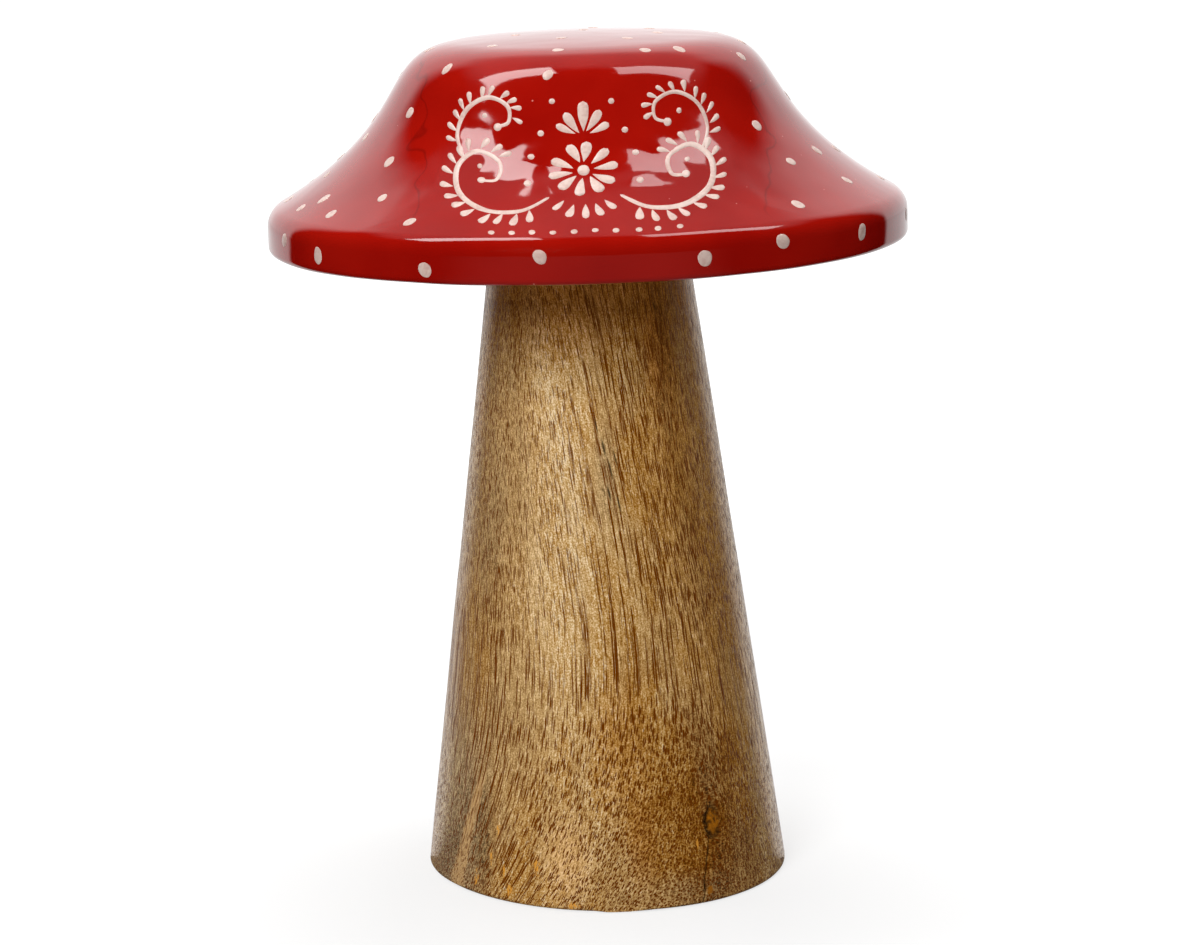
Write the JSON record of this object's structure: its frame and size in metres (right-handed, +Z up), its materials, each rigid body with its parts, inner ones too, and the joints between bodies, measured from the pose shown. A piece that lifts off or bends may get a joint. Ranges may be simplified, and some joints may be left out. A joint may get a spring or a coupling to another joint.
{
  "type": "mushroom ornament",
  "caption": "Free-standing turned wood toadstool ornament: a tapered stem on a level foot carries a bell-shaped cap with a rounded lip under a glossy red enamel coat.",
  "frame": {"origin": "centre of the level foot", "axes": "+Z up, -Y to the decorated front, +X to the right seen from the front; the stem and cap lean a little towards -X"},
  "size_m": [0.1501, 0.15, 0.2001],
  "materials": {
    "mango_wood": "turned, sanded and wiped with a satin lacquer, with dark open vessels along the grain",
    "bare_wood": "turned and sanded, bare on the underside",
    "red_enamel": "thick high-gloss enamel with off-white hand-painted dabs",
    "white_paint": "thick off-white enamel, dabbed and stroked on by hand",
    "beech": "milled, unfinished"
  },
  "bodies": {
    "root": {"stem": "mango_wood", "cap_core": "bare_wood", "cap_enamel": "red_enamel", "joint_dowel": "beech"}
  },
  "joints": []
}
